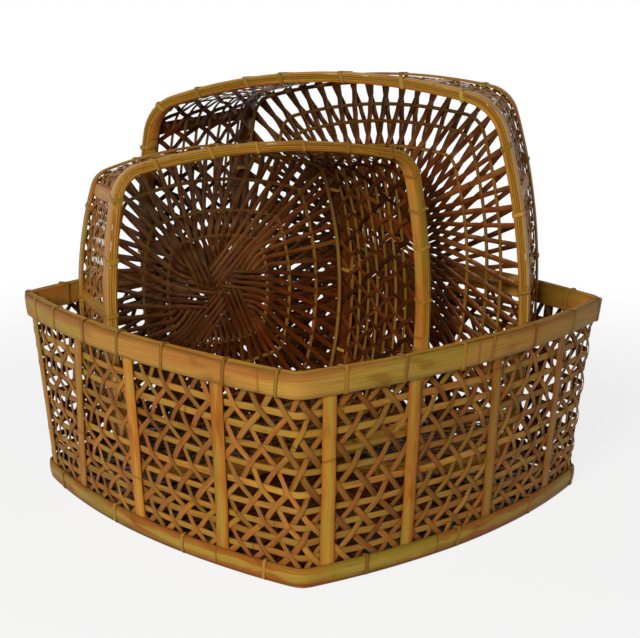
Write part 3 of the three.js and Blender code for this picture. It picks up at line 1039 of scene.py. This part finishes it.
def floor_strip(basket, wall, bundle, place, per_bundle, end, draw):
    """A strip from the hub to the foot of the wall. Its end is where it sets out for, where it
    reaches the wall, and its lean there."""
    aim, at_wall, lean = end
    along = turned(math.radians(basket["hub_turn"]) + bundle * 2 * math.pi / BUNDLES)
    offset = (place + 0.5 - per_bundle / 2) * BUNDLE_PITCH
    begin = hub_start(offset, BUNDLE_PITCH * per_bundle / 2) - HUB_TUCK
    start = along * begin + left_of(along) * offset
    fan = FAN_RADIUS * turned(float(wall.facing(aim)))
    foot = wall.place(at_wall + draw.uniform(-STRAY, STRAY), LATTICE_FOOT, FOOT_DEPTH + 1)[:2]
    outwards = unit(foot - fan)
    reach = np.linalg.norm(fan - start)
    from_hub = start + along * HUB_PULL * reach
    to_fan = fan - outwards * FAN_PULL * reach
    inner = bezier(start, from_hub, to_fan, fan, HUB_STEPS)
    span = np.linalg.norm(foot - fan)
    outer = fan + np.linspace(0, 1, int(span / FLOOR_STEP))[1:, None] * (foot - fan)
    sway = np.sin(np.linspace(0, math.pi * draw.integers(1, 3), len(outer)))
    outer = outer + draw.uniform(-SWAY, SWAY) * sway[:, None] * left_of(outwards)
    flat = np.concatenate([inner, outer])
    run = np.linalg.norm(flat - flat[0], axis=-1)
    dip = HUB_DIP * np.clip(1 - run / (2.5 * HUB_TUCK), 0, 1)
    height = floor_height(basket, wall, flat, lean) - dip + wobble(draw, run, *FLOOR_WAVER)
    points = np.concatenate([flat, height[:, None]], -1)
    width = basket["floor_width"] * draw.uniform(*FLOOR_WIDTHS)
    share = np.interp(run, (HUB_TUCK, 0.8 * reach), (BUNDLE_PITCH / width, 1))
    # Painted shade on the lower layer, and painted sheen on every third bundle
    tone = draw.uniform(*(LIT_UPPER_TONES if lean > 0 else SHADED_LOWER_TONES))
    if bundle % SHEEN_BUNDLES == 0:
        tone += SHEEN_TONE
    section = blade(width, FLOOR_STRIP_THICKNESS, FLOOR_BULGE)
    return sweep(points, upwards(points), section, tone, share)


def floor_strips(basket, wall, draw):
    pitch = wall.perimeter / basket["strips"]
    bottom = rows_met(basket)[0][-1]
    half_sector = math.pi / BUNDLES
    first = float(wall.distance_facing(math.radians(basket["hub_turn"]) - half_sector))
    ends = []
    for lean in (1, -1):
        for k in range(basket["strips"]):
            at_wall = k * pitch + lean * pitch / 2 * bottom
            aim = at_wall + lean * basket["floor_spread"] * pitch
            ends.append((np.mod(aim - first, wall.perimeter) + first, at_wall, lean))
    ends.sort()
    per_bundle = len(ends) // BUNDLES
    return [
        floor_strip(basket, wall, i // per_bundle, i % per_bundle, per_bundle, end, draw)
        for i, end in enumerate(ends)
    ]


def floor_canes(basket, wall, draw):
    around = wall.round_trip(CANE_STEP)
    foot = wall.place(around, basket["floor_level"] + FLOOR_CANE_LIFT, LATTICE_DEPTH)
    hoops = []
    for share in basket["hoops"]:
        points = foot * (share, share * basket["hoop_stretch"], 1)
        hoops.append([sweep(points, upwards(points), rod(FLOOR_CANE), draw.uniform())])
    points = wall.place(around, CORNER_CANE_HEIGHT, LATTICE_DEPTH + CORNER_CANE_INSET)
    return hoops, [sweep(points, upwards(points), rod(CORNER_CANE), draw.uniform())]


def make_basket(basket):
    """Every piece of one basket, each in place of the CAD node that it shows."""
    name = basket["name"]
    body = f"{name}_basket"
    matrix = basket_matrix(basket)
    wall = Wall(basket)
    draw = np.random.default_rng(basket["seed"])

    def add(label, parts, materials, slot_name, *nodes):
        stood_for = [f"{name}_{node}" for node in nodes if f"{name}_{node}" in frame["nodes"]]
        make_piece(f"{name}_{label}", parts, materials, body, matrix, stood_for)

    outer, inner, reeds = rim_parts(basket, wall, draw)
    add("outer_band", outer, (RIM, DARK), "outer_bamboo", "rim_outer_band")
    add("inner_band", inner, (LINING,), "pale_bamboo", "rim_inner_band")
    add("rim_reeds", reeds, (REED,), "weave_bamboo")
    add("rim_lashings", rim_lashings(basket, wall, draw), (LASHING,), "outer_bamboo")
    hoop, under, lashings = base_parts(basket, wall, draw)
    add("foot_hoop", hoop, (HOOP, DARK), "outer_bamboo", "base_hoop")
    add("foot_under_hoop", under, (DARK,), "dark_bamboo")
    add("foot_lashings", lashings, (LASHING,), "outer_bamboo")
    left = leaning_strips(basket, wall, 1, draw)
    right = leaning_strips(basket, wall, -1, draw)
    add("left_leaners", left, (TAN, DARK), "weave_bamboo", "left_leaning_strips")
    add("right_leaners", right, (TAN, DARK), "dark_bamboo", "right_leaning_strips")
    rows = weaver_rows(basket, wall, draw)
    add("weaver_rows", rows, (GOLD, CANE), "weave_bamboo", "weaver")
    add("floor_plait", floor_strips(basket, wall, draw), (DARK, TAN), "dark_bamboo", "floor_strips")
    hoops, corner = floor_canes(basket, wall, draw)
    for k, hoop in enumerate(hoops, 1):
        add(f"floor_cane_{k}", hoop, (CANE,), "weave_bamboo", f"floor_hoop_{k}")
    add("floor_corner_cane", corner, (CANE,), "weave_bamboo")
    for side, stakes in basket["stakes"].items():
        for k, (top, bottom) in enumerate(stakes, 1):
            part = stake_part(wall, top, bottom, draw)
            label = f"stake_strip_{side}_{k}"
            add(label, [part], (STAKE, DARK), "pale_bamboo", f"stake_{side}_{k}")


def finish_cad_nodes():
    """The CAD solids take their slots' materials, though the strips above stand for them."""
    for row in frame["record"]["subparts"]:
        node = frame["nodes"][row["node"]]
        node.data.materials.clear()
        node.data.materials.append(SLOT_MATERIALS[row["material_slot"]])


# Floor, light and camera


def make_ground():
    """A pale floor that fades out into the white background and keeps the baskets' shadow. Under
    the large basket's foot it has a painted shadow: a dark colour and no white lift.
    """
    bpy.ops.mesh.primitive_circle_add(
        vertices=GROUND_SIDES, radius=GROUND_RADIUS, fill_type="NGON"
    )
    ground = bpy.context.object
    ground.name = "ground"
    material = bpy.data.materials.new("ground_white")
    nodes = Nodes(material)
    point = nodes.add("ShaderNodeTexCoord").outputs["Object"]
    reach = nodes.add("ShaderNodeVectorMath", inputs={0: point}, operation="LENGTH")
    fade = nodes.step(reach.outputs["Value"], *GROUND_FADE)
    split = nodes.add("ShaderNodeSeparateXYZ", inputs={0: point}).outputs
    spans = []
    for here, there in ((split[0], split[1]), (split[1], split[0])):
        bulge = nodes.maths("DIVIDE", nodes.maths("MULTIPLY", there, there), 2 * FOOT_SIDE_RADIUS)
        spans.append(nodes.maths("ADD", nodes.maths("ABSOLUTE", here, 0), bulge))
    # Painted shadow: within the large basket's foot the floor takes a dark colour and isn't lifted
    # to white
    outside = nodes.step(nodes.maths("MAXIMUM", *spans), *UNDER_BASKET)
    colour = nodes.mix(outside, PAINTED_SHADOW_COLOUR, GROUND_COLOUR)
    matt = nodes.add("ShaderNodeBsdfDiffuse", inputs={"Color": colour})
    white = nodes.add("ShaderNodeEmission", {"Color": WHITE, "Strength": 1.0})
    lift = nodes.maths("MULTIPLY", nodes.seen_white(), GROUND_LIFT)
    lift = nodes.maths("MULTIPLY", lift, outside)
    lifted = nodes.mixed(lift, matt, white)
    clear = nodes.add("ShaderNodeBsdfTransparent")
    mixed = nodes.mixed(fade, lifted, clear)
    nodes.add("ShaderNodeOutputMaterial", inputs={"Surface": mixed.outputs[0]})
    ground.data.materials.append(material)


def make_light(name, power, size, place):
    position = from_camera_side(*place)
    data = bpy.data.lights.new(name, "AREA")
    data.energy = power
    data.size = size
    light = bpy.data.objects.new(name, data)
    light.location = position
    aim = Vector(LIGHT_AIM) - Vector(position)
    light.rotation_euler = aim.to_track_quat("-Z", "Y").to_euler()
    bpy.context.scene.collection.objects.link(light)


def from_camera_side(right, toward, up):
    """A place given as seen by the camera, in metres: to its right, towards it, and up."""
    angle = math.radians(CAMERA_AZIMUTH)
    x = right * math.cos(angle) + toward * math.sin(angle)
    y = right * math.sin(angle) - toward * math.cos(angle)
    return (x, y, up)


def make_world():
    world = bpy.data.worlds.new("studio")
    bpy.context.scene.world = world
    world.use_nodes = True
    nodes = Nodes(world)
    white = nodes.add("ShaderNodeBackground", {"Color": WHITE, "Strength": 1.0})
    ambient = nodes.add("ShaderNodeBackground", {"Color": WHITE, "Strength": AMBIENT})
    mixed = nodes.mixed(nodes.seen_white(), ambient, white)
    nodes.add("ShaderNodeOutputWorld", inputs={"Surface": mixed.outputs[0]})


def make_camera():
    elevation = math.radians(CAMERA_ELEVATION)
    position = np.array(
        [
            0,
            -CAMERA_DISTANCE * math.cos(elevation),
            CAMERA_DISTANCE * math.sin(elevation) + CAMERA_AIM_HEIGHT,
        ]
    )
    forward = np.array([0, math.cos(elevation), -math.sin(elevation)])
    right = np.array([1.0, 0, 0])
    up = np.cross(right, forward)
    pan, tilt, roll = (math.radians(v) for v in (CAMERA_PAN, CAMERA_TILT, CAMERA_ROLL))
    panned = forward * math.cos(pan) + right * math.sin(pan)
    right = right * math.cos(pan) - forward * math.sin(pan)
    forward = panned * math.cos(tilt) + up * math.sin(tilt)
    up = up * math.cos(tilt) - panned * math.sin(tilt)
    rolled_right = right * math.cos(roll) + up * math.sin(roll)
    rolled_up = up * math.cos(roll) - right * math.sin(roll)
    placed = Matrix(
        [
            (rolled_right[k], rolled_up[k], -forward[k], position[k] * MM)
            for k in range(3)
        ]
        + [(0, 0, 0, 1)]
    )
    data = bpy.data.cameras.new("view")
    data.sensor_width = SENSOR_WIDTH
    data.lens = FOCAL_PIXELS * SENSOR_WIDTH / PICTURE_WIDTH
    data.clip_end = CLIP_END
    camera = bpy.data.objects.new("view", data)
    camera.matrix_world = Matrix.Rotation(math.radians(CAMERA_AZIMUTH), 4, "Z") @ placed
    bpy.context.scene.collection.objects.link(camera)
    bpy.context.scene.camera = camera


for one in (LARGE, MEDIUM, SMALL):
    make_basket(one)
finish_cad_nodes()
make_ground()
make_light(*KEY_LIGHT)
make_light(*FILL_LIGHT)
make_world()
make_camera()
bpy.context.scene.view_settings.view_transform = "Standard"
